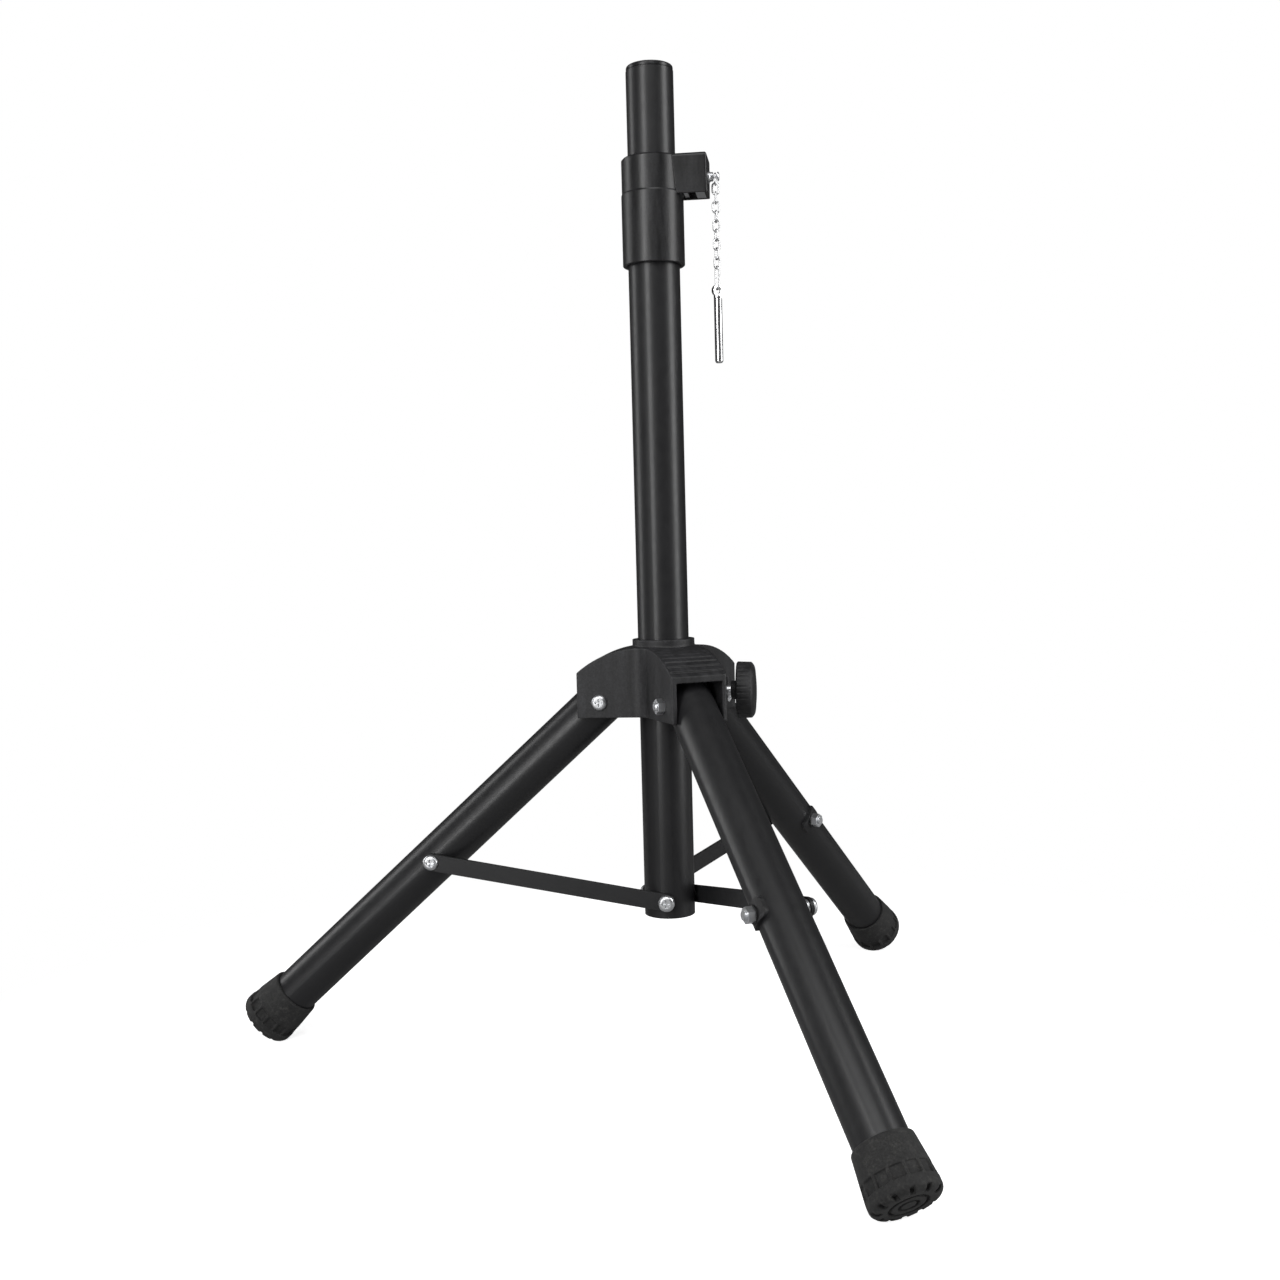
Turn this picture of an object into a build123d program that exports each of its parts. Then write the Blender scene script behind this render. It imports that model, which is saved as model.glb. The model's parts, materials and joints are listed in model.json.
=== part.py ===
from build123d import *
import math
import os

# Folding tripod stand for a loudspeaker. Millimetres, +Z up.
# Origin: on the floor, on the mast's axis. Legs point to azimuths 180, 300 and 60 degrees,
# the clamp knob and the lock of the upper tube point along +X.

# ---- driving dimensions -------------------------------------------------------------------
# tubes
MAST_R = 19.05          # 38.1 mm mast
MAST_WALL = 1.2
UPPER_R = 17.5          # 35 mm standard speaker pole, its exposed end
SLIDE_R = 17.2          # the rest of the tube, which slides in the collar
SPIGOT_Z0 = 667.0
UPPER_WALL = 1.5
LEG_R = 17.5
LEG_WALL = 1.5

# heights above the floor
PIVOT_Z = 268.0         # axes of the three leg hinges
MAST_Z0 = 104.5         # lower end of the mast
STEP_Z = 640.0          # mast's upper end, where the collar narrows on to the upper tube
COLLAR_Z0 = 588.5
COLLAR_Z1 = 666.0
UPPER_Z0 = 126.0
UPPER_Z1 = 729.0
BRACE_Z = 117.0         # brace screws in the mast

# legs
LEG_AZ = {"left": 180.0, "front": 300.0, "back": 60.0}
ALPHA = 47.8            # leg's angle from the vertical when open
PIVOT_RAD = 46.5        # hinge axis from the mast's axis
LEG_TOP = 12.0          # tube above the hinge axis
SOLE = 377.9            # hinge axis to the sole, along the leg
RIM = 341.2             # hinge axis to the rim of the rubber foot
FOOT_WALL_R = 19.7
FOOT_BASE_R = 22.6
SOLE_ROUND = 5.0
SOLE_T = 7.0
BRACE_AT = 180.0        # hinge axis to the brace bolt, along the leg

# braces
BAR_IN = 19.40          # bar's inner face from the plane of mast and leg
BAR_T = 2.6
BAR_W = 13.0

# hub
HUB_Z0 = 256.5
HUB_Z1 = 308.0
RING_Z1 = 313.5
RING_R = 23.3
ARM_IN = 18.0           # half width of the leg channel
ARM_OUT = 22.0
ARM_END = 63.5
ARM_TOP_T = 4.0
HUB_BORE = MAST_R + 0.10
KNOB_Z = 274.0

# fasteners
M6 = 3.0
PIN_FIT = 0.05          # radial running clearance of a hinge pin
HEAD_R = 5.8
HEAD_H = 3.2

# chain
WIRE = 0.65             # wire radius
LINK_PITCH = 6.7
LINK_HALF = 2.30        # centre-line radius of a link's bow
CHAIN_X = 46.6
CHAIN_GAP = 0.20
NECK_Z = 651.0
NECK_R = 1.35

os.makedirs("parts", exist_ok=True)

sa, ca = math.sin(math.radians(ALPHA)), math.cos(math.radians(ALPHA))
LEG_BOLT_R = PIVOT_RAD + BRACE_AT * sa
LEG_BOLT_Z = PIVOT_Z - BRACE_AT * ca
BRACE_LEN = math.hypot(LEG_BOLT_R, LEG_BOLT_Z - BRACE_Z)
BRACE_UP = math.degrees(math.atan2(LEG_BOLT_Z - BRACE_Z, LEG_BOLT_R))


def radial(az):
    return Vector(math.cos(math.radians(az)), math.sin(math.radians(az)), 0)


def side(az):
    return Vector(-math.sin(math.radians(az)), math.cos(math.radians(az)), 0)


def leg_axis(az):
    return radial(az) * sa - Vector(0, 0, 1) * ca


def leg_point(az, s, lateral=0.0):
    return radial(az) * PIVOT_RAD + Vector(0, 0, PIVOT_Z) + leg_axis(az) * s + side(az) * lateral


def leg_plane(az, s):
    # z runs down the leg, x points sideways
    return Plane(origin=leg_point(az, s), x_dir=side(az), z_dir=leg_axis(az))


def arm_plane(az, lateral=0.0):
    # x is radial, y is up, z points to minus sideways
    return Plane(origin=side(az) * lateral, x_dir=radial(az), z_dir=side(az) * -1)


def bolt_plane(origin, direction, x_dir=None):
    return Plane(origin=origin, x_dir=x_dir if x_dir else Vector(0, 0, 1), z_dir=direction)


def save(piece, name):
    piece.part.label = name
    export_step(piece.part, f"parts/{name}.step")
    print(name, round(piece.part.volume, 1), len(piece.part.solids()))


# ---- hub ----------------------------------------------------------------------------------
END_DROP = 18.2         # arm's top at its end, below the hub's top
TOP_ARC = [(20.0, HUB_Z1), (44.0, HUB_Z1 - 5.9), (ARM_END, HUB_Z1 - END_DROP)]

with BuildPart() as hub_body:
    with BuildSketch(Plane.XY.offset(HUB_Z0)) as plan:
        for az in LEG_AZ.values():
            c = radial(az) * (ARM_END / 2)
            with Locations(Location((c.X, c.Y, 0), (0, 0, az))):
                Rectangle(ARM_END, 2 * ARM_OUT)
        Circle(RING_R)
        inner = [v for v in plan.vertices() if 24.5 < math.hypot(v.X, v.Y) < 26.5]
        fillet(inner, 13.0)
        tips = [v for v in plan.vertices() if math.hypot(v.X, v.Y) > 60]
        fillet(tips, 2.0)
    extrude(amount=HUB_Z1 - HUB_Z0)
    for az in LEG_AZ.values():
        # arched back of the arm
        with BuildSketch(arm_plane(az)) as above:
            with BuildLine():
                ThreePointArc(*TOP_ARC)
                Polyline(TOP_ARC[2], (ARM_END + 8, HUB_Z1 - END_DROP), (ARM_END + 8, HUB_Z1 + 8), (20.0, HUB_Z1 + 8), TOP_ARC[0])
            make_face()
        extrude(amount=30, both=True, mode=Mode.SUBTRACT)
    for az in LEG_AZ.values():
        # channel that the leg swings in, open below and at the end
        with BuildSketch(arm_plane(az)) as channel:
            with BuildLine():
                pts = [(x, z - ARM_TOP_T) for x, z in TOP_ARC]
                ThreePointArc((24.0, pts[0][1] - 0.2), pts[1], (ARM_END + 5, pts[2][1] - 6.2))
                Polyline((ARM_END + 5, pts[2][1] - 6.2), (ARM_END + 5, HUB_Z0 - 5), (24.0, HUB_Z0 - 5), (24.0, pts[0][1] - 0.2))
            make_face()
        extrude(amount=ARM_IN, both=True, mode=Mode.SUBTRACT)
        # grip ribs across the arm's back
        for k in range(7):
            x = 29.6 + 5.0 * k
            z = HUB_Z1 - (x - 20) ** 2 * END_DROP / (ARM_END - 20) ** 2
            slope = math.degrees(math.atan(2 * (x - 20) * END_DROP / (ARM_END - 20) ** 2))
            with BuildSketch(arm_plane(az)) as rib:
                with Locations(Location((x, z, 0), (0, 0, -slope))):
                    Rectangle(1.9, 2.2)
            extrude(amount=ARM_OUT - 1.5, both=True, mode=Mode.SUBTRACT)
    # sleeve round the mast, with its raised collar ring
    with BuildSketch(Plane.XY.offset(HUB_Z0)):
        Circle(RING_R)
    extrude(amount=RING_Z1 - HUB_Z0)
    with BuildSketch(Plane.XY.offset(HUB_Z1 - 4)):
        Circle(RING_R + 1.2)
    extrude(amount=4.8, taper=12)
    # boss of the clamp screw
    with BuildSketch(Plane(origin=(20, 0, KNOB_Z), x_dir=(0, 1, 0), z_dir=(1, 0, 0))):
        Circle(10.0)
    extrude(amount=27.0)
    with BuildSketch(Plane.XY.offset(HUB_Z0 - 1)):
        Circle(HUB_BORE)
    extrude(amount=RING_Z1 - HUB_Z0 + 2, mode=Mode.SUBTRACT)
    # pocket of the clamp pad, screw passage and nut pocket
    with BuildSketch(Plane(origin=(15, 0, KNOB_Z), x_dir=(0, 1, 0), z_dir=(1, 0, 0))):
        Rectangle(12.6, 14.6)
    extrude(amount=10.2, mode=Mode.SUBTRACT)
    with BuildSketch(Plane(origin=(15, 0, KNOB_Z), x_dir=(0, 1, 0), z_dir=(1, 0, 0))):
        Circle(4.3)
    extrude(amount=40, mode=Mode.SUBTRACT)
    with BuildSketch(Plane(origin=(35, 0, KNOB_Z), x_dir=(0, 1, 0), z_dir=(1, 0, 0))):
        RegularPolygon(6.5, 6, major_radius=False)
    extrude(amount=6.5, mode=Mode.SUBTRACT)
    # hinge bolt holes
    for az in LEG_AZ.values():
        with BuildSketch(bolt_plane(leg_point(az, 0, -30), side(az))):
            Circle(M6 + PIN_FIT)
        extrude(amount=60, mode=Mode.SUBTRACT)
save(hub_body, "hub_body")

with BuildPart() as knob_nut:
    with BuildSketch(Plane(origin=(35, 0, KNOB_Z), x_dir=(0, 1, 0), z_dir=(1, 0, 0))):
        RegularPolygon(6.45, 6, major_radius=False)
        Circle(4.08, mode=Mode.SUBTRACT)
    extrude(amount=6.5)
save(knob_nut, "knob_nut")


def pan_screw_profile(shank_len, head_r=HEAD_R, head_h=HEAD_H, shank_r=M6):
    # half section, axis along y, head above y = 0
    with BuildLine() as line:
        Polyline((0, -shank_len), (shank_r - 0.5, -shank_len), (shank_r, -shank_len + 0.6), (shank_r, 0), (head_r, 0), (head_r, head_h * 0.35))
        RadiusArc((head_r, head_h * 0.35), (head_r * 0.55, head_h), -head_r * 0.75)
        Polyline((head_r * 0.55, head_h), (0, head_h), (0, -shank_len))
    return line


def pan_screw(planes, shank_len, head_r=HEAD_R, head_h=HEAD_H, shank_r=M6):
    with BuildPart() as screw:
        for p in planes:
            q = Plane(origin=p.origin, x_dir=p.x_dir, z_dir=p.x_dir.cross(p.z_dir))
            with BuildSketch(q):
                with BuildLine():
                    Polyline((0, -shank_len), (shank_r - 0.5, -shank_len), (shank_r, -shank_len + 0.6), (shank_r, 0), (head_r, 0), (head_r, head_h * 0.35))
                    ThreePointArc((head_r, head_h * 0.35), (head_r * 0.86, head_h * 0.78), (head_r * 0.5, head_h))
                    Polyline((head_r * 0.5, head_h), (0, head_h), (0, -shank_len))
                make_face()
            revolve(axis=Axis(p.origin, p.z_dir))
        for p in planes:
            # cross recess
            with BuildSketch(p.offset(head_h - 1.7)):
                Rectangle(head_r * 1.02, 1.3)
                Rectangle(1.3, head_r * 1.02)
            extrude(amount=3, mode=Mode.SUBTRACT)
    return screw


def hex_nut(planes, af=10.0, h=5.0, bore=M6 + 0.03, tip=2.0):
    with BuildPart() as nut:
        for p in planes:
            with BuildSketch(p):
                RegularPolygon(af / 2, 6, major_radius=False)
                Circle(bore, mode=Mode.SUBTRACT)
            extrude(amount=h)
    return nut


# hinge bolts of the legs and their nuts
pivot_bolts = pan_screw([bolt_plane(leg_point(az, 0, ARM_OUT + 0.0), side(az)) for az in LEG_AZ.values()], 2 * ARM_OUT + 6.5)
save(pivot_bolts, "pivot_bolts")
pivot_nuts = hex_nut([bolt_plane(leg_point(az, 0, -ARM_OUT), side(az) * -1) for az in LEG_AZ.values()])
save(pivot_nuts, "pivot_nuts")

# ---- clamp of the hub ------------------------------------------------------------------------
with BuildPart() as clamp_pad:
    with BuildSketch(Plane(origin=(17, 0, KNOB_Z), x_dir=(0, 1, 0), z_dir=(1, 0, 0))):
        Rectangle(12.0, 14.0)
    extrude(amount=5.2)
    with BuildSketch(Plane.XY.offset(KNOB_Z - 12)):
        Circle(MAST_R + 0.08)
    extrude(amount=24, mode=Mode.SUBTRACT)
save(clamp_pad, "clamp_pad")

with BuildPart() as knob_stud:
    with BuildSketch(Plane(origin=(22.2, 0, KNOB_Z), x_dir=(0, 1, 0), z_dir=(1, 0, 0))):
        Circle(4.0)
    extrude(amount=40.3)
    chamfer(knob_stud.faces().sort_by(Axis.X)[0].edges(), 0.6)
save(knob_stud, "knob_stud")

KNOB_R = 21.3
with BuildPart() as knob_handle:
    with BuildSketch(Plane.XZ):
        with BuildLine():
            Polyline((50.2, KNOB_Z), (50.2, KNOB_Z + 6.8), (54.6, KNOB_Z + 7.2), (54.6, KNOB_Z + KNOB_R - 1.0), (55.6, KNOB_Z + KNOB_R), (65.4, KNOB_Z + KNOB_R - 0.4))
            ThreePointArc((65.4, KNOB_Z + KNOB_R - 0.4), (67.3, KNOB_Z + KNOB_R - 2.6), (68.2, KNOB_Z + 14.5))
            ThreePointArc((68.2, KNOB_Z + 14.5), (68.8, KNOB_Z + 9.0), (69.0, KNOB_Z + 4.0))
            Polyline((69.0, KNOB_Z + 4.0), (69.0, KNOB_Z), (50.2, KNOB_Z))
        make_face()
    revolve(axis=Axis((0, 0, KNOB_Z), (1, 0, 0)))
    # finger grooves round the rim
    with BuildSketch(Plane(origin=(54.0, 0, KNOB_Z), x_dir=(0, 1, 0), z_dir=(1, 0, 0))):
        with PolarLocations(KNOB_R, 30):
            Rectangle(0.9, 1.5)
    extrude(amount=10.8, mode=Mode.SUBTRACT)
    with BuildSketch(Plane(origin=(45, 0, KNOB_Z), x_dir=(0, 1, 0), z_dir=(1, 0, 0))):
        Circle(4.0)
    extrude(amount=17.5, mode=Mode.SUBTRACT)
save(knob_handle, "knob_handle")

# ---- mast ----------------------------------------------------------------------------------
with BuildPart() as mast_tube:
    with BuildSketch(Plane.XY.offset(MAST_Z0)):
        Circle(MAST_R)
        Circle(MAST_R - MAST_WALL, mode=Mode.SUBTRACT)
    extrude(amount=STEP_Z - MAST_Z0)
    for az in LEG_AZ.values():
        with BuildSketch(bolt_plane(Vector(0, 0, BRACE_Z) + side(az) * 25, side(az) * -1)):
            Circle(4.5)
        extrude(amount=18, mode=Mode.SUBTRACT)
save(mast_tube, "mast_tube")

COLLAR_R = 22.4
COLLAR_LOW_R = 22.9
COLLAR_BORE = SLIDE_R + 0.10
with BuildPart() as collar:
    with BuildSketch(Plane.XZ):
        with BuildLine():
            Polyline((COLLAR_BORE, COLLAR_Z1 - 0.6), (18.2, COLLAR_Z1), (COLLAR_R - 1.2, COLLAR_Z1), (COLLAR_R, COLLAR_Z1 - 1.2), (COLLAR_R, STEP_Z + 0.8),
                     (COLLAR_LOW_R, STEP_Z - 0.4), (COLLAR_LOW_R, COLLAR_Z0 + 0.6), (COLLAR_LOW_R - 0.6, COLLAR_Z0), (20.4, COLLAR_Z0), (MAST_R, COLLAR_Z0 + 1.3),
                     (MAST_R, STEP_Z), (COLLAR_BORE, STEP_Z), (COLLAR_BORE, COLLAR_Z1 - 0.6))
        make_face()
    revolve(axis=Axis.Z)
    # window of the lock pad
    with BuildSketch(Plane(origin=(10, 0, NECK_Z + 1.0), x_dir=(0, 1, 0), z_dir=(1, 0, 0))):
        Rectangle(20.0, 24.0)
    extrude(amount=20, mode=Mode.SUBTRACT)
save(collar, "collar")

# lock housing: a hood on the collar, open below, tapering a little downwards
HOOD_X1 = 41.5
HOOD_TOP, HOOD_BOT = 15.8, 12.6       # half widths at top and bottom
with BuildPart() as lock_housing:
    with BuildSketch(Plane.YZ.offset(15.0)) as hood:
        with BuildLine():
            Polyline((-HOOD_BOT, 638.0), (HOOD_BOT, 638.0), (HOOD_TOP, COLLAR_Z1), (-HOOD_TOP, COLLAR_Z1), (-HOOD_BOT, 638.0))
        make_face()
        fillet(hood.vertices().group_by(Axis.Y)[-1], 2.5)
    extrude(amount=HOOD_X1 - 15.0)
    end = lock_housing.faces().sort_by(Axis.X)[-1]
    fillet([e for e in end.edges() if e.center().Z > 640], 1.6)
    # inside of the hood
    with BuildSketch(Plane.YZ.offset(10.0)):
        with BuildLine():
            Polyline((-HOOD_BOT + 2.0, 630.0), (HOOD_BOT - 2.0, 630.0), (HOOD_BOT - 2.0, 664.0), (-HOOD_BOT + 2.0, 664.0), (-HOOD_BOT + 2.0, 630.0))
        make_face()
    extrude(amount=HOOD_X1 - 12.2, mode=Mode.SUBTRACT)
    # seat on the collar
    with BuildSketch(Plane.XY.offset(630)):
        Circle(COLLAR_R)
    extrude(amount=40, mode=Mode.SUBTRACT)
    with BuildSketch(Plane.XY.offset(630)):
        Circle(COLLAR_LOW_R)
    extrude(amount=10.85, mode=Mode.SUBTRACT)
    with BuildSketch(Plane(origin=(30, 0, NECK_Z), x_dir=(0, 1, 0), z_dir=(1, 0, 0))):
        Circle(4.2)
    extrude(amount=20, mode=Mode.SUBTRACT)
save(lock_housing, "lock_housing")

with BuildPart() as lock_nut:
    with BuildSketch(Plane(origin=(32.6, 0, NECK_Z), x_dir=(0, 1, 0), z_dir=(1, 0, 0))):
        Rectangle(20.8, 25.0)
        Circle(4.08, mode=Mode.SUBTRACT)
    extrude(amount=6.6)
save(lock_nut, "lock_nut")

with BuildPart() as lock_pad:
    with BuildSketch(Plane(origin=(10, 0, NECK_Z + 0.7), x_dir=(0, 1, 0), z_dir=(1, 0, 0))):
        Rectangle(19.2, 22.8)
    extrude(amount=13.6)
    with BuildSketch(Plane.XY.offset(630)):
        Circle(SLIDE_R + 0.08)
    extrude(amount=40, mode=Mode.SUBTRACT)
save(lock_pad, "lock_pad")

with BuildPart() as lock_plate:
    with BuildSketch(Plane(origin=(23.6, 0, NECK_Z + 0.4), x_dir=(0, 1, 0), z_dir=(1, 0, 0))):
        Rectangle(19.6, 24.0)
    extrude(amount=3.0)
save(lock_plate, "lock_plate")

with BuildPart() as lock_screw:
    with BuildSketch(Plane.XZ):
        with BuildLine():
            Polyline((26.6, NECK_Z), (26.6, NECK_Z + 3.4), (27.2, NECK_Z + 4.0), (42.6, NECK_Z + 4.0), (43.2, NECK_Z + 3.3), (45.0, NECK_Z + 3.3),
                     (45.3, NECK_Z + NECK_R), (47.9, NECK_Z + NECK_R), (48.2, NECK_Z + 3.3), (48.8, NECK_Z + 3.3), (49.4, NECK_Z + 2.6), (49.4, NECK_Z), (26.6, NECK_Z))
        make_face()
    revolve(axis=Axis((0, 0, NECK_Z), (1, 0, 0)))
save(lock_screw, "lock_screw")

# threaded inserts in the mast for the brace screws, and the shouldered screws
with BuildPart() as brace_inserts:
    for az in LEG_AZ.values():
        with BuildSketch(bolt_plane(Vector(0, 0, BRACE_Z) + side(az) * 9.5, side(az))):
            Circle(4.5)
            Circle(M6 + 0.03, mode=Mode.SUBTRACT)
        extrude(amount=9.3)
save(brace_inserts, "brace_inserts")

HEAD_AT = BAR_IN + BAR_T + 0.2
brace_screws = pan_screw([bolt_plane(Vector(0, 0, BRACE_Z) + side(az) * HEAD_AT, side(az)) for az in LEG_AZ.values()], HEAD_AT - 8.5, head_r=6.2)
save(brace_screws, "brace_screws")

# ---- upper tube ------------------------------------------------------------------------------
with BuildPart() as upper_tube:
    with BuildSketch(Plane.XZ):
        with BuildLine():
            Polyline((UPPER_R - UPPER_WALL, UPPER_Z0), (SLIDE_R, UPPER_Z0), (SLIDE_R, SPIGOT_Z0), (UPPER_R, SPIGOT_Z0), (UPPER_R, UPPER_Z1 - 0.35),
                     (UPPER_R - 0.35, UPPER_Z1), (UPPER_R - UPPER_WALL, UPPER_Z1), (UPPER_R - UPPER_WALL, UPPER_Z0))
        make_face()
    revolve(axis=Axis.Z)
    # pin holes across the tube, one above the other
    for k in range(7):
        with BuildSketch(Plane(origin=(0, -25, 225 + 60 * k), x_dir=(1, 0, 0), z_dir=(0, 1, 0))):
            Circle(3.25)
        extrude(amount=50, mode=Mode.SUBTRACT)
save(upper_tube, "upper_tube")

CAP_R = UPPER_R - 0.3
with BuildPart() as top_cap:
    with BuildSketch(Plane.XZ):
        with BuildLine():
            Polyline((0, UPPER_Z1 - 14), (15.4, UPPER_Z1 - 14), (16.0, UPPER_Z1 - 12.5), (16.0, UPPER_Z1), (UPPER_R - 0.6, UPPER_Z1), (UPPER_R - 0.6, UPPER_Z1 + 0.5), (CAP_R, UPPER_Z1 + 0.5), (CAP_R, UPPER_Z1 + 2.0))
            ThreePointArc((CAP_R, UPPER_Z1 + 2.0), (16.75, UPPER_Z1 + 3.05), (15.6, UPPER_Z1 + 3.5))
            Polyline((15.6, UPPER_Z1 + 3.5), (0, UPPER_Z1 + 3.9), (0, UPPER_Z1 - 14))
        make_face()
    revolve(axis=Axis.Z)
    with BuildSketch(Plane.XY.offset(UPPER_Z1 - 14)):
        Circle(13.6)
    extrude(amount=12.5, mode=Mode.SUBTRACT)
save(top_cap, "top_cap")

with BuildPart() as lower_guide:
    with BuildSketch(Plane.XY.offset(UPPER_Z0 - 3.0)):
        Circle(MAST_R - MAST_WALL - 0.10)
        Circle(12.5, mode=Mode.SUBTRACT)
    extrude(amount=3.0)
    with BuildSketch(Plane.XY.offset(UPPER_Z0)):
        Circle(UPPER_R - UPPER_WALL)
        Circle(12.5, mode=Mode.SUBTRACT)
    extrude(amount=16.0)
save(lower_guide, "lower_guide")

# ---- legs ------------------------------------------------------------------------------------
NUT_SIDE = 17.5
for name, az in LEG_AZ.items():
    with BuildPart() as tube:
        with BuildSketch(leg_plane(az, -LEG_TOP)):
            Circle(LEG_R)
            Circle(LEG_R - LEG_WALL, mode=Mode.SUBTRACT)
        extrude(amount=LEG_TOP + SOLE - SOLE_T)
        for s, r in ((0.0, M6 + PIN_FIT), (BRACE_AT, M6 + 0.02)):
            with BuildSketch(bolt_plane(leg_point(az, s, -30), side(az))):
                Circle(r)
            extrude(amount=60, mode=Mode.SUBTRACT)
    save(tube, f"leg_tube_{name}")

    with BuildPart() as plug:
        with BuildSketch(leg_plane(az, -LEG_TOP)):
            Circle(LEG_R - LEG_WALL)
        extrude(amount=7.5)
        with BuildSketch(leg_plane(az, -LEG_TOP)):
            Circle(LEG_R - LEG_WALL - 2.2)
        extrude(amount=5.5, mode=Mode.SUBTRACT)
    save(plug, f"leg_plug_{name}")

    # rubber foot: a tapered cap with a recessed band above a notched sole
    with BuildPart() as foot:
        fp = leg_plane(az, 0)
        with BuildSketch(Plane(origin=fp.origin, x_dir=fp.x_dir, z_dir=fp.x_dir.cross(fp.z_dir))):
            with BuildLine():
                Polyline((0, SOLE - SOLE_T), (LEG_R, SOLE - SOLE_T), (LEG_R, RIM), (FOOT_WALL_R - 0.6, RIM), (FOOT_WALL_R, RIM + 0.8),
                         (FOOT_BASE_R - 0.9, SOLE - 17.4), (FOOT_BASE_R, SOLE - 8.6), (FOOT_BASE_R, SOLE - SOLE_ROUND))
                ThreePointArc((FOOT_BASE_R, SOLE - SOLE_ROUND), (FOOT_BASE_R - 0.29289 * SOLE_ROUND, SOLE - 0.29289 * SOLE_ROUND), (FOOT_BASE_R - SOLE_ROUND, SOLE))
                Polyline((FOOT_BASE_R - SOLE_ROUND, SOLE), (0, SOLE), (0, SOLE - SOLE_T))
            make_face()
        revolve(axis=Axis(fp.origin, fp.z_dir))
        # row of windows round the wall, with thin bars between them
        with BuildSketch(leg_plane(az, SOLE - 17.0)):
            with PolarLocations(FOOT_BASE_R - 0.4, 14, start_angle=90):
                Rectangle(3.4, 7.9)
        extrude(amount=8.0, mode=Mode.SUBTRACT)
        # tread slots across the rounded edge, and rings and bars under the sole
        with BuildSketch(leg_plane(az, SOLE - 2.6)):
            with PolarLocations(FOOT_BASE_R - 2.6, 12, start_angle=15):
                Rectangle(7.2, 3.2)
        extrude(amount=8, mode=Mode.SUBTRACT)
        with BuildSketch(leg_plane(az, SOLE - 1.4)):
            Circle(12.6)
            Circle(10.8, mode=Mode.SUBTRACT)
            Circle(6.6)
            Circle(4.8, mode=Mode.SUBTRACT)
        extrude(amount=4, mode=Mode.SUBTRACT)
        # flat on the floor
        with BuildSketch(Plane.XY.offset(-30)):
            c = radial(az) * 340
            with Locations((c.X, c.Y)):
                Circle(90)
        extrude(amount=30, mode=Mode.SUBTRACT)
    save(foot, f"foot_{name}")

    # brace bolt: its shank, washers and nut stay with the leg
    with BuildPart() as spacer:
        with BuildSketch(bolt_plane(leg_point(az, BRACE_AT, 12.0), side(az))):
            Circle(5.5)
            Circle(M6 + 0.03, mode=Mode.SUBTRACT)
        extrude(amount=7.1)
        with BuildSketch(leg_plane(az, BRACE_AT - 15)):
            Circle(LEG_R)
        extrude(amount=30, mode=Mode.SUBTRACT)
    save(spacer, f"brace_spacer_{name}")

    with BuildPart() as saddle:
        with BuildSketch(bolt_plane(leg_point(az, BRACE_AT, -8.0), side(az) * -1, leg_axis(az))):
            RectangleRounded(15.0, 22.0, 4.0)
            Circle(M6 + 0.03, mode=Mode.SUBTRACT)
        extrude(amount=12.0)
        with BuildSketch(leg_plane(az, BRACE_AT - 15)):
            Circle(LEG_R)
        extrude(amount=30, mode=Mode.SUBTRACT)
        with BuildSketch(leg_plane(az, BRACE_AT - 15)):
            Circle(40)
            Circle(LEG_R + 2.4, mode=Mode.SUBTRACT)
        extrude(amount=30, mode=Mode.SUBTRACT)
        # flat seat of the nut
        with BuildSketch(bolt_plane(leg_point(az, BRACE_AT, -LEG_R - 0.6), side(az) * -1)):
            Circle(6.4)
            Circle(M6 + 0.03, mode=Mode.SUBTRACT)
        extrude(amount=2.2)
    save(saddle, f"brace_saddle_{name}")

    with BuildPart() as shank:
        with BuildSketch(bolt_plane(leg_point(az, BRACE_AT, 19.0), side(az) * -1)):
            Circle(M6)
        extrude(amount=19.0 + LEG_R + 2.8 + 6.8)
    save(shank, f"brace_bolt_{name}")

    nut = hex_nut([bolt_plane(leg_point(az, BRACE_AT, -LEG_R - 2.8), side(az) * -1)])
    save(nut, f"brace_nut_{name}")

# ---- braces ------------------------------------------------------------------------------------
for name, az in LEG_AZ.items():
    along = radial(az) * math.cos(math.radians(BRACE_UP)) + Vector(0, 0, 1) * math.sin(math.radians(BRACE_UP))
    bp = Plane(origin=Vector(0, 0, BRACE_Z) + side(az) * BAR_IN, x_dir=along, z_dir=side(az))
    with BuildPart() as bar:
        with BuildSketch(bp):
            with Locations((BRACE_LEN / 2, 0)):
                SlotCenterToCenter(BRACE_LEN, BAR_W)
            with Locations((0, 0), (BRACE_LEN, 0)):
                Circle(M6 + PIN_FIT, mode=Mode.SUBTRACT)
        extrude(amount=BAR_T)
        chamfer(bar.faces().sort_by(Axis(bp.origin, bp.z_dir))[-1].outer_wire().edges(), 0.4)
    save(bar, f"brace_bar_{name}")
    head = pan_screw([bolt_plane(leg_point(az, BRACE_AT, BAR_IN + BAR_T), side(az))], BAR_T)
    save(head, f"brace_bolt_head_{name}")

# ---- chain and pin --------------------------------------------------------------------------------
TWIST = [90, 0, 96, 10, 106, 22, 118, 32, 124, 38]


def stadium_link(z_top, direction, inner_len, half, wire):
    # closed link: centre line of two half circles and two straights, in a vertical plane
    d = Vector(math.cos(math.radians(direction)), math.sin(math.radians(direction)), 0)
    p = Plane(origin=Vector(CHAIN_X, 0, 0), x_dir=d, z_dir=d.cross(Vector(0, 0, 1)))
    z_bot = z_top - inner_len
    with BuildPart() as link:
        with BuildLine(p) as path:
            Line((half, z_top - half), (half, z_bot + half))
            ThreePointArc((half, z_bot + half), (0, z_bot), (-half, z_bot + half))
            Line((-half, z_bot + half), (-half, z_top - half))
            ThreePointArc((-half, z_top - half), (0, z_top), (half, z_top - half))
        with BuildSketch(Plane(origin=p.from_local_coords(Vector(half, z_top - half, 0)), x_dir=d, z_dir=(0, 0, -1))):
            Circle(wire)
        sweep(path=path.wires()[0])
    return link


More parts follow.
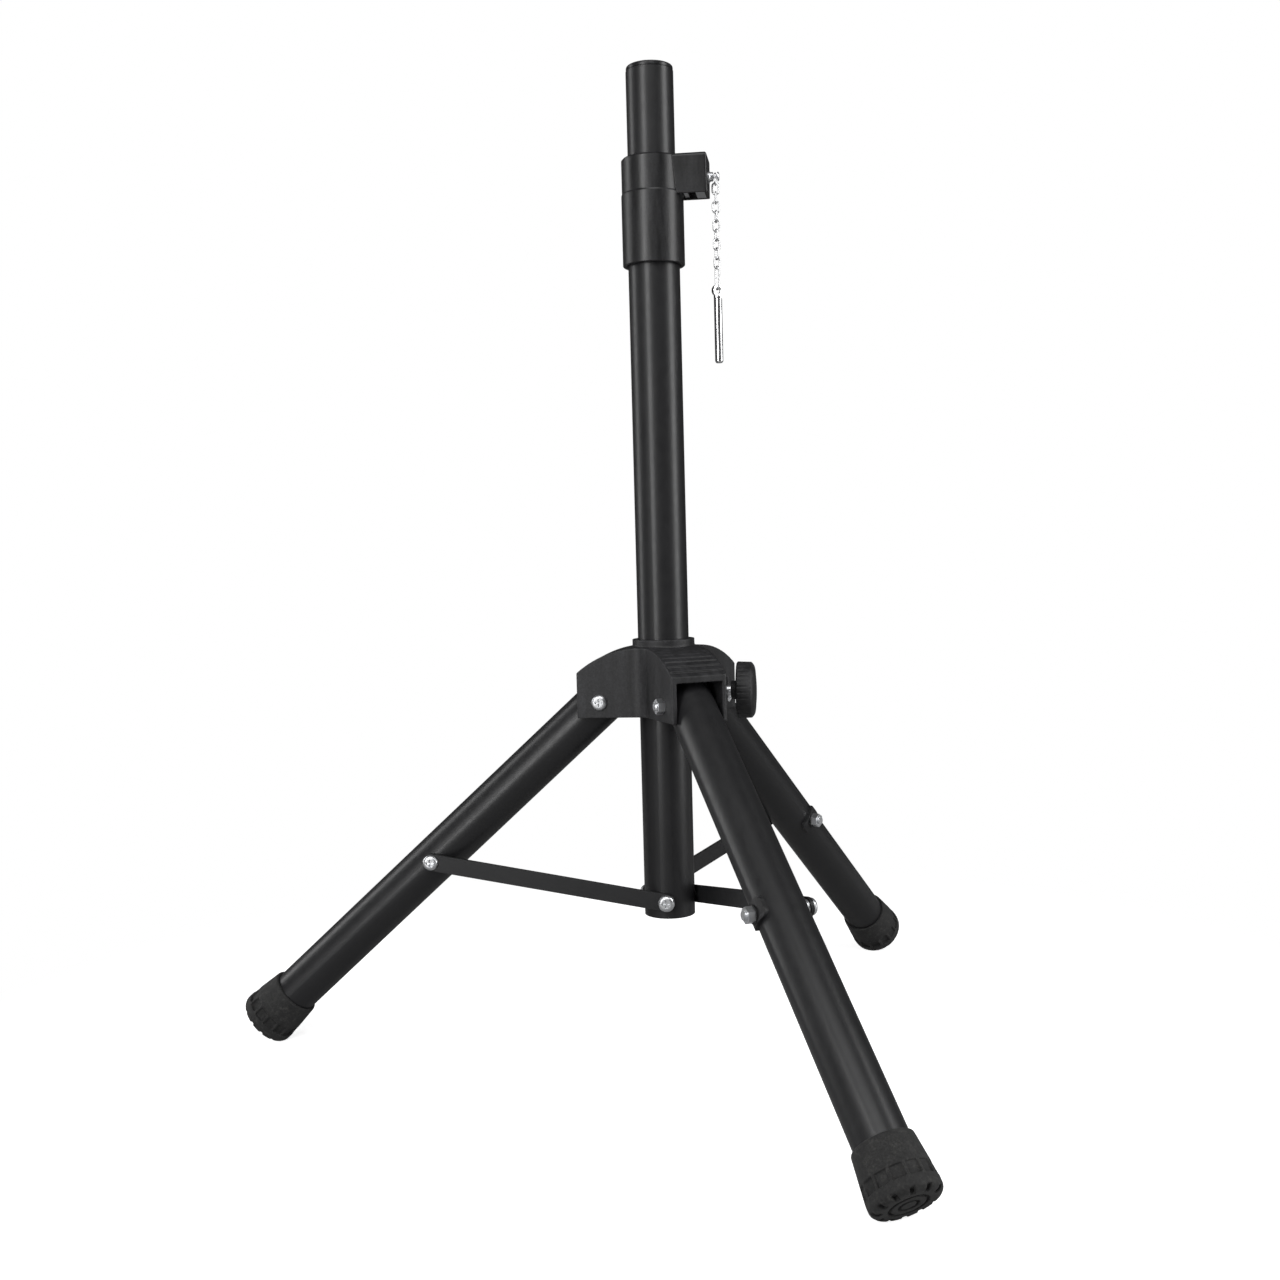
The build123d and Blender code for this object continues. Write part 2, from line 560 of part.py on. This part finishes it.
CENTRE_LEN = LINK_PITCH + 2 * WIRE + CHAIN_GAP      # centre line, top of bow to bottom of bow
z_top = NECK_Z + NECK_R + WIRE + 0.25
hinges = []
for k, twist in enumerate(TWIST):
    link = stadium_link(z_top, twist, CENTRE_LEN, LINK_HALF, WIRE)
    save(link, f"chain_link_{k + 1:02d}")
    hinges.append((z_top, twist))
    z_bottom = z_top - CENTRE_LEN
    z_top = z_bottom + 2 * WIRE + CHAIN_GAP
# long connector loop
LOOP_LEN = 16.5
LOOP_HALF = 2.3
loop = stadium_link(z_top, TWIST[-1] + 90, LOOP_LEN, LOOP_HALF, WIRE)
save(loop, "chain_loop")
hinges.append((z_top, TWIST[-1] + 90))
loop_bottom = z_top - LOOP_LEN

# safety pin: flattened eye with a bell-mouthed hole on a round shaft with a chamfered tip
EYE_HOLE = 1.9
EYE_T = 2.8
EYE_R = 4.45
PIN_Z = loop_bottom + WIRE + 0.25 - EYE_HOLE         # centre of the eye
pin_az = math.radians(TWIST[-1] + 90)
pd = Vector(math.cos(pin_az), math.sin(pin_az), 0)
PIN_R = 3.0
PIN_END = PIN_Z - 52.5
with BuildPart() as pin:
    with BuildSketch(Plane(origin=(CHAIN_X, 0, 0), x_dir=(1, 0, 0), z_dir=(0, -1, 0))):
        with BuildLine():
            Polyline((0, PIN_END), (2.2, PIN_END), (PIN_R, PIN_END + 1.2), (PIN_R, PIN_Z - 5.6), (1.3, PIN_Z - 3.2), (0, PIN_Z - 3.2), (0, PIN_END))
        make_face()
    revolve(axis=Axis((CHAIN_X, 0, 0), (0, 0, 1)))
    eye_plane = Plane(origin=Vector(CHAIN_X, 0, PIN_Z) - pd * (EYE_T / 2), x_dir=(0, 0, 1), z_dir=pd)
    with BuildSketch(eye_plane):
        Circle(EYE_R)
        with Locations((-4.2, 0)):
            Rectangle(3.6, 5.4)
    extrude(amount=EYE_T)
    with BuildSketch(eye_plane):
        Circle(EYE_HOLE)
    extrude(amount=EYE_T, mode=Mode.SUBTRACT)
    rims = [e for e in pin.edges().filter_by(GeomType.CIRCLE) if abs(e.radius - EYE_HOLE) < 0.01]
    chamfer(rims, 0.9)
save(pin, "safety_pin")

print("BRACE_LEN", BRACE_LEN, "BRACE_UP", BRACE_UP, "leg bolt", LEG_BOLT_R, LEG_BOLT_Z)
print("loop bottom", loop_bottom, "pin eye", PIN_Z, "pin end", PIN_END)
for h in hinges:
    print("hinge", h)
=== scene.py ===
import json
import math

import bmesh
import bpy
from mathutils import Matrix, Vector


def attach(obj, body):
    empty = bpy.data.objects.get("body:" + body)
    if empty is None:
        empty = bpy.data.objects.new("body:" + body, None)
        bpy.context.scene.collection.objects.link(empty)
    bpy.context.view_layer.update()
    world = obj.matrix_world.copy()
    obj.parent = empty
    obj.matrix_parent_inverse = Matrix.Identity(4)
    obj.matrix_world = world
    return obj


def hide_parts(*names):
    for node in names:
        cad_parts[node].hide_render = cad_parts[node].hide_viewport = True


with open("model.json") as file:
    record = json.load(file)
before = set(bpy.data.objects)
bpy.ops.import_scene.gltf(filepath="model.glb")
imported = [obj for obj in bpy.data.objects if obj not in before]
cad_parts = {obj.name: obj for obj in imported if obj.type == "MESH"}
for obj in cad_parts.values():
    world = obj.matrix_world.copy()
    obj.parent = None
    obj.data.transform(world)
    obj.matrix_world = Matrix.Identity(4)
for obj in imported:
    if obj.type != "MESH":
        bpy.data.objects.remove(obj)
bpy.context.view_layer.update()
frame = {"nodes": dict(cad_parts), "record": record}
nodes = frame["nodes"]
scene = bpy.context.scene
scene.view_settings.view_transform = "Standard"
scene.view_settings.look = "None"
scene.view_settings.exposure = 0.0

# ---------------------------------------------------------------- camera
F_PX = 1441.2
YAW, PITCH, ROLL = math.radians(7.721), math.radians(-3.88), math.radians(-1.489)
fwd = Vector((-math.sin(YAW) * math.cos(PITCH), math.cos(YAW) * math.cos(PITCH), math.sin(PITCH)))
right = Vector((math.cos(YAW), math.sin(YAW), 0.0))
up = right.cross(fwd)
r2 = right * math.cos(ROLL) + up * math.sin(ROLL)
u2 = right * -math.sin(ROLL) + up * math.cos(ROLL)
cam_data = bpy.data.cameras.new("camera")
cam_data.sensor_width = 36.0
cam_data.sensor_fit = "HORIZONTAL"
cam_data.lens = F_PX / 1280.0 * 36.0
cam_data.clip_start = 0.02
cam_data.clip_end = 100.0
camera = bpy.data.objects.new("camera", cam_data)
m = Matrix((r2, u2, -fwd)).transposed().to_4x4()
m.translation = Vector((0.12767, -1.07252, 0.268 + 0.11796))
camera.matrix_world = m
scene.collection.objects.link(camera)
scene.camera = camera


# ---------------------------------------------------------------- node helpers
def new_mat(name):
    mat = bpy.data.materials.new(name)
    mat.use_nodes = True
    nt = mat.node_tree
    nt.nodes.clear()
    out = nt.nodes.new("ShaderNodeOutputMaterial")
    bsdf = nt.nodes.new("ShaderNodeBsdfPrincipled")
    nt.links.new(bsdf.outputs["BSDF"], out.inputs["Surface"])
    return mat, nt, bsdf


def coords(nt, scale=1.0):
    tc = nt.nodes.new("ShaderNodeTexCoord")
    mp = nt.nodes.new("ShaderNodeMapping")
    s = (scale, scale, scale) if isinstance(scale, (int, float)) else scale
    mp.inputs["Scale"].default_value = s
    nt.links.new(tc.outputs["Object"], mp.inputs["Vector"])
    return mp.outputs["Vector"]


def noise(nt, vec, scale, detail=3.0, rough=0.5, dist=0.0):
    n = nt.nodes.new("ShaderNodeTexNoise")
    n.inputs["Scale"].default_value = scale
    n.inputs["Detail"].default_value = detail
    n.inputs["Roughness"].default_value = rough
    n.inputs["Distortion"].default_value = dist
    nt.links.new(vec, n.inputs["Vector"])
    return n.outputs["Fac"]


def ramp(nt, fac, stops):
    r = nt.nodes.new("ShaderNodeValToRGB")
    els = r.color_ramp.elements
    while len(els) < len(stops):
        els.new(0.5)
    for e, (p, c) in zip(els, stops):
        e.position = p
        e.color = (c[0], c[1], c[2], 1.0) if isinstance(c, (tuple, list)) else (c, c, c, 1.0)
    nt.links.new(fac, r.inputs["Fac"])
    return r.outputs["Color"]


def mix(nt, kind, fac, a, b):
    n = nt.nodes.new("ShaderNodeMix")
    n.data_type = "RGBA"
    n.blend_type = kind
    for sock, v in ((n.inputs[0], fac), (n.inputs[6], a), (n.inputs[7], b)):
        if isinstance(v, bpy.types.NodeSocket):
            nt.links.new(v, sock)
        elif isinstance(v, (tuple, list)):
            sock.default_value = (v[0], v[1], v[2], 1.0)
        else:
            sock.default_value = v
    return n.outputs[2]


def bump(nt, height, strength, distance, normal=None):
    b = nt.nodes.new("ShaderNodeBump")
    b.inputs["Strength"].default_value = strength
    b.inputs["Distance"].default_value = distance
    nt.links.new(height, b.inputs["Height"])
    if normal is not None:
        nt.links.new(normal, b.inputs["Normal"])
    return b.outputs["Normal"]


def painted_recess_shade(nt, col, distance=0.004, low=0.25):
    # painted shade: the colour is darkened in grooves and corners, where ambient occlusion finds them
    ao = nt.nodes.new("ShaderNodeAmbientOcclusion")
    ao.samples = 6
    ao.only_local = True
    ao.inputs["Distance"].default_value = distance
    return mix(nt, "MULTIPLY", 1.0, col, ramp(nt, ao.outputs["AO"], [(0.40, low), (0.92, 1.0)]))



# ---------------------------------------------------------------- materials
def powder_coat(name, base=(0.0125, 0.0125, 0.0135), rough=(0.33, 0.44)):
    mat, nt, b = new_mat(name)
    v = coords(nt)
    big = noise(nt, v, 9.0, 4.0, 0.55)
    mid = noise(nt, v, 160.0, 3.0, 0.6)
    fine = noise(nt, v, 1900.0, 2.0, 0.5)
    dust = noise(nt, v, 620.0, 5.0, 0.75)
    col = ramp(nt, big, [(0.3, tuple(c * 0.85 for c in base)), (0.7, tuple(c * 1.2 for c in base))])
    specks = ramp(nt, dust, [(0.66, 0.0), (0.74, 1.0)])
    col = mix(nt, "MIX", mix(nt, "MULTIPLY", 1.0, specks, (0.5, 0.5, 0.5)), col, (0.032, 0.032, 0.034))
    nt.links.new(col, b.inputs["Base Color"])
    r = ramp(nt, mid, [(0.25, rough[0]), (0.75, rough[1])])
    nt.links.new(r, b.inputs["Roughness"])
    n1 = bump(nt, mid, 0.012, 0.0004)
    n2 = bump(nt, fine, 0.03, 0.00003, n1)
    nt.links.new(n2, b.inputs["Normal"])
    b.inputs["Specular IOR Level"].default_value = 0.42
    b.inputs["Coat Weight"].default_value = 0.12
    b.inputs["Coat Roughness"].default_value = 0.22
    return mat


def moulded(name, base=(0.021, 0.021, 0.0225), rough=(0.48, 0.62), grain=900.0, grain_h=0.00010, spec=0.42, streak=0.0):
    mat, nt, b = new_mat(name)
    v = coords(nt)
    big = noise(nt, v, 22.0, 4.0, 0.55)
    cell = nt.nodes.new("ShaderNodeTexVoronoi")
    cell.inputs["Scale"].default_value = grain
    nt.links.new(v, cell.inputs["Vector"])
    fine = noise(nt, v, grain * 1.7, 2.0, 0.6)
    col = ramp(nt, big, [(0.25, tuple(c * 0.82 for c in base)), (0.75, tuple(c * 1.25 for c in base))])
    flow = noise(nt, coords(nt, (1.0, 1.0, 0.14)), 150.0, 4.0, 0.65)
    blotch = noise(nt, coords(nt, (1.0, 1.0, 0.35)), 48.0, 4.0, 0.6)
    streaks = ramp(nt, flow, [(0.32, 0.50), (0.68, 1.42)])
    col = mix(nt, "MULTIPLY", 1.0, col, streaks)
    scuff = ramp(nt, blotch, [(0.56, 0.0), (0.74, 0.45)])
    col = mix(nt, "MIX", scuff, col, tuple(c * 2.6 for c in base))
    pores = noise(nt, v, 620.0, 5.0, 0.75)
    col = mix(nt, "MULTIPLY", 1.0, col, ramp(nt, pores, [(0.34, 0.62), (0.66, 1.30)]))
    # painted shade: the colour is darkened in grooves and corners
    col = painted_recess_shade(nt, col)
    nt.links.new(col, b.inputs["Base Color"])
    r = ramp(nt, flow, [(0.3, rough[0]), (0.7, rough[1])])
    nt.links.new(r, b.inputs["Roughness"])
    n1 = bump(nt, flow, 0.10 + streak, 0.0003)
    n2 = bump(nt, cell.outputs["Distance"], 0.30, grain_h, n1)
    n3 = bump(nt, fine, 0.18, grain_h, n2)
    nt.links.new(n3, b.inputs["Normal"])
    b.inputs["Specular IOR Level"].default_value = spec
    return mat


def rubber(name):
    mat, nt, b = new_mat(name)
    v = coords(nt)
    big = noise(nt, v, 60.0, 5.0, 0.6)
    fine = noise(nt, v, 1500.0, 3.0, 0.6)
    dust = noise(nt, v, 240.0, 6.0, 0.7)
    col = ramp(nt, big, [(0.25, (0.0105, 0.0105, 0.0108)), (0.75, (0.0205, 0.0203, 0.0200))])
    d = ramp(nt, dust, [(0.50, 0.0), (0.68, 0.75)])
    col = mix(nt, "MIX", d, col, (0.046, 0.0455, 0.0435))
    speck = noise(nt, v, 700.0, 4.0, 0.7)
    col = mix(nt, "MULTIPLY", 1.0, col, ramp(nt, speck, [(0.36, 0.55), (0.64, 1.30)]))
    # painted shade: the colour is darkened strongly in grooves and recesses
    col = painted_recess_shade(nt, col, 0.005, 0.12)
    nt.links.new(col, b.inputs["Base Color"])
    nt.links.new(ramp(nt, dust, [(0.3, 0.62), (0.7, 0.82)]), b.inputs["Roughness"])
    n1 = bump(nt, big, 0.12, 0.0006)
    n2 = bump(nt, fine, 0.30, 0.00012, n1)
    nt.links.new(n2, b.inputs["Normal"])
    b.inputs["Specular IOR Level"].default_value = 0.35
    b.inputs["Sheen Weight"].default_value = 0.06
    b.inputs["Sheen Roughness"].default_value = 0.6
    return mat


def metal(name, base, rough=(0.16, 0.3), scratch=0.10, stain=None):
    mat, nt, b = new_mat(name)
    v = coords(nt)
    big = noise(nt, v, 260.0, 4.0, 0.6)
    fine = noise(nt, coords(nt, (1.0, 1.0, 7.0)), 1400.0, 3.0, 0.6)
    dark = tuple(c * 0.80 for c in base)
    col = ramp(nt, big, [(0.3, stain if stain else dark), (0.62, base)])
    nt.links.new(col, b.inputs["Base Color"])
    b.inputs["Metallic"].default_value = 1.0
    nt.links.new(ramp(nt, big, [(0.3, rough[1]), (0.7, rough[0])]), b.inputs["Roughness"])
    nt.links.new(bump(nt, fine, scratch, 0.00008), b.inputs["Normal"])
    return mat


SLOTS = {
    "tube_black": powder_coat("powder_coat_tube"),
    "brace_black": powder_coat("powder_coat_brace", (0.013, 0.013, 0.014), (0.36, 0.5)),
    "hub_plastic": moulded("moulded_nylon", (0.0195, 0.0195, 0.021), (0.42, 0.60), 900.0, 0.00010, 0.45, 0.12),
    "collar_plastic": moulded("moulded_collar", (0.0125, 0.0125, 0.0135), (0.30, 0.42), 1000.0, 0.00007, 0.5),
    "knob_plastic": moulded("moulded_knob", (0.019, 0.019, 0.0205), (0.50, 0.64), 700.0, 0.00014),
    "cap_plastic": moulded("cap_plastic_gloss", (0.012, 0.012, 0.013), (0.24, 0.36), 1200.0, 0.00004),
    "foot_rubber": rubber("foot_rubber_matte"),
    "washer_plastic": moulded("washer_plastic_matte", (0.018, 0.018, 0.019), (0.42, 0.56), 900.0, 0.00008),
    "glide_plastic": moulded("glide_nylon", (0.04, 0.04, 0.043), (0.38, 0.5), 900.0, 0.00005),
    "zinc_steel": metal("zinc_plate", (0.86, 0.87, 0.88), (0.30, 0.44), 0.16, (0.70, 0.71, 0.74)),
    "chrome": metal("nickel_chrome", (0.93, 0.935, 0.94), (0.16, 0.26), 0.05, (0.84, 0.845, 0.86)),
}
slot_of = {s["node"]: s["material_slot"] for s in frame["record"]["subparts"]}
for name, obj in nodes.items():
    mat = SLOTS[slot_of[name]]
    if not obj.material_slots:
        obj.data.materials.append(mat)
    for ms in obj.material_slots:
        ms.material = mat

# ---------------------------------------------------------------- softened mouldings
def soften(node, voxel, rounds, keep_ratio=1.0):
    """A moulding's mesh made again from its CAD node with small soft edges, standing in for it."""
    src = nodes[node]
    body = [s for s in frame["record"]["behaviour"]["bodies"].items() if node in s[1]][0][0]
    me = src.data.copy()
    ob = bpy.data.objects.new(node + "_moulded", me)
    ob.matrix_world = src.matrix_world.copy()
    scene.collection.objects.link(ob)
    bm = bmesh.new()
    bm.from_mesh(me)
    bmesh.ops.remove_doubles(bm, verts=bm.verts, dist=1e-6)
    bm.to_mesh(me)
    bm.free()
    rm = ob.modifiers.new("remesh", "REMESH")
    rm.mode = "VOXEL"
    rm.voxel_size = voxel
    rm.use_smooth_shade = True
    sm = ob.modifiers.new("smooth", "SMOOTH")
    sm.factor = 0.5
    sm.iterations = rounds
    if keep_ratio < 1.0:
        de = ob.modifiers.new("thin", "DECIMATE")
        de.ratio = keep_ratio
    dg = bpy.context.evaluated_depsgraph_get()
    final = bpy.data.meshes.new_from_object(ob.evaluated_get(dg))
    ob.modifiers.clear()
    ob.data = final
    final.materials.clear()
    final.materials.append(SLOTS[slot_of[node]])
    for p in final.polygons:
        p.use_smooth = True
        p.material_index = 0
    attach(ob, body)
    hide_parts(node)
    return ob


hub = soften("hub_body", 0.0005, 2)
for leg in ("left", "front", "back"):
    soften(f"foot_{leg}", 0.0005, 2)
soften("knob_handle", 0.0004, 3)
soften("lock_housing", 0.0003, 2)

# ---------------------------------------------------------------- stage and light
world = bpy.data.worlds.new("studio")
scene.world = world
world.use_nodes = True
wnt = world.node_tree
wnt.nodes.clear()
wout = wnt.nodes.new("ShaderNodeOutputWorld")
wbg = wnt.nodes.new("ShaderNodeBackground")
wbg2 = wnt.nodes.new("ShaderNodeBackground")
wmix = wnt.nodes.new("ShaderNodeMixShader")
wlp = wnt.nodes.new("ShaderNodeLightPath")
wbg.inputs["Color"].default_value = (1, 1, 1, 1)
wbg.inputs["Strength"].default_value = 0.062
wbg2.inputs["Color"].default_value = (1, 1, 1, 1)
wbg2.inputs["Strength"].default_value = 1.0
wnt.links.new(wlp.outputs["Is Camera Ray"], wmix.inputs["Fac"])
wnt.links.new(wbg.outputs[0], wmix.inputs[1])
wnt.links.new(wbg2.outputs[0], wmix.inputs[2])
wnt.links.new(wmix.outputs[0], wout.inputs["Surface"])

FLOOR_GLOW = 0.80
bpy.ops.mesh.primitive_circle_add(vertices=96, radius=12.0, fill_type="NGON", location=(0, 0, 0))
floor = bpy.context.object
floor.name = "floor"
fmat, fnt, fb = new_mat("floor_paper")
fcoord = coords(fnt)
fb.inputs["Roughness"].default_value = 0.95
fb.inputs["Specular IOR Level"].default_value = 0.05
fb.inputs["Base Color"].default_value = (0.93, 0.93, 0.93, 1)
em = fnt.nodes.new("ShaderNodeEmission")
em.inputs["Color"].default_value = (1, 1, 1, 1)
em.inputs["Strength"].default_value = 1.0
glow = fnt.nodes.new("ShaderNodeEmission")
glow.inputs["Color"].default_value = (1, 1, 1, 1)
glow.inputs["Strength"].default_value = FLOOR_GLOW
add = fnt.nodes.new("ShaderNodeAddShader")
length = fnt.nodes.new("ShaderNodeVectorMath")
length.operation = "LENGTH"
fnt.links.new(fcoord, length.inputs[0])
fr = fnt.nodes.new("ShaderNodeMapRange")
fr.inputs["From Min"].default_value = 0.30
fr.inputs["From Max"].default_value = 0.62
fr.inputs["To Min"].default_value = 0.0
fr.inputs["To Max"].default_value = 1.0
fr.interpolation_type = "SMOOTHSTEP"
fnt.links.new(length.outputs["Value"], fr.inputs["Value"])
near = fnt.nodes.new("ShaderNodeMixShader")
fnt.links.new(fb.outputs["BSDF"], add.inputs[0])
fnt.links.new(glow.outputs["Emission"], add.inputs[1])
fnt.links.new(fr.outputs["Result"], near.inputs["Fac"])
fnt.links.new(add.outputs["Shader"], near.inputs[1])
fnt.links.new(em.outputs["Emission"], near.inputs[2])
dim = fnt.nodes.new("ShaderNodeBsdfDiffuse")
dim.inputs["Color"].default_value = (0.36, 0.36, 0.36, 1)
flp = fnt.nodes.new("ShaderNodeLightPath")
fmix = fnt.nodes.new("ShaderNodeMixShader")
fout = [n for n in fnt.nodes if n.type == "OUTPUT_MATERIAL"][0]
fnt.links.new(flp.outputs["Is Camera Ray"], fmix.inputs["Fac"])
fnt.links.new(dim.outputs["BSDF"], fmix.inputs[1])
fnt.links.new(near.outputs["Shader"], fmix.inputs[2])
fnt.links.new(fmix.outputs["Shader"], fout.inputs["Surface"])
floor.data.materials.append(fmat)


def softbox(name, azimuth, dist, height, size, power, aim_z=0.42):
    # azimuth is measured from the camera's side of the object, positive to its right
    base = math.atan2(camera.location.y, camera.location.x)
    a = base + math.radians(azimuth)
    light = bpy.data.lights.new(name, "AREA")
    light.shape = "RECTANGLE"
    light.size, light.size_y = size
    light.energy = power
    ob = bpy.data.objects.new(name, light)
    scene.collection.objects.link(ob)
    ob.location = (math.cos(a) * dist, math.sin(a) * dist, height)
    d = Vector((0, 0, aim_z)) - ob.location
    ob.rotation_euler = d.to_track_quat("-Z", "Y").to_euler()
    return ob


softbox("key_left", -33, 2.2, 1.0, (0.62, 2.4), 32.0)
softbox("key_right", 75, 2.0, 0.9, (0.76, 2.4), 30.0)
softbox("rim_left", -104, 2.2, 0.9, (0.7, 2.0), 13.0)
softbox("top", 5, 2.4, 3.0, (2.2, 2.2), 44)
